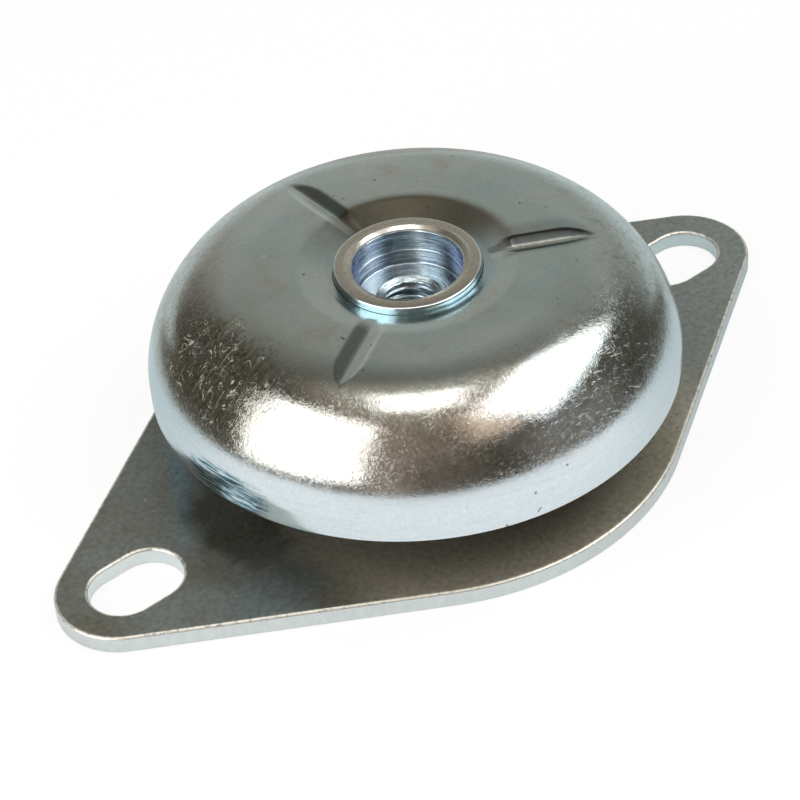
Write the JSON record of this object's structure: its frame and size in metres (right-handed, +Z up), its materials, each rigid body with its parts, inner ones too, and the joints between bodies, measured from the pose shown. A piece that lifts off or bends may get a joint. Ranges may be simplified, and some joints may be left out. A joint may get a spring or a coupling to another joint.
{
  "type": "anti-vibration bell mount",
  "caption": "Pressed steel bell with a threaded boss on a bonded rubber body over a slotted lozenge plate; carries a machine foot and isolates its vibration.",
  "frame": {"origin": "centre of the plate's underside, on the bell's axis", "axes": "+X along the plate through both slots, +Y across the plate, +Z up the bell's axis"},
  "size_m": [0.1654, 0.1004, 0.0395],
  "materials": {
    "plate_zinc": "dull olive-grey zinc plating, bright sheared edges",
    "black_rubber": "matt moulded rubber",
    "bell_zinc": "glossy zinc plating, scuffed on the shoulder",
    "boss_steel": "turned face, tan tint",
    "washer_zinc": "satin zinc plating"
  },
  "bodies": {
    "base": {"base_plate": "plate_zinc", "rubber_body": "black_rubber"},
    "bell": {"bell_cap": "bell_zinc", "threaded_boss": "boss_steel", "rebound_washer": "washer_zinc"}
  },
  "joints": [
    {"name": "bell_travel", "type": "slide", "parent": "base", "child": "bell", "axis": [0, 0, 1], "range_m": [-0.005, 0.0025], "stiffness_N_per_m": 150000, "deforming": ["rubber_body"]}
  ]
}
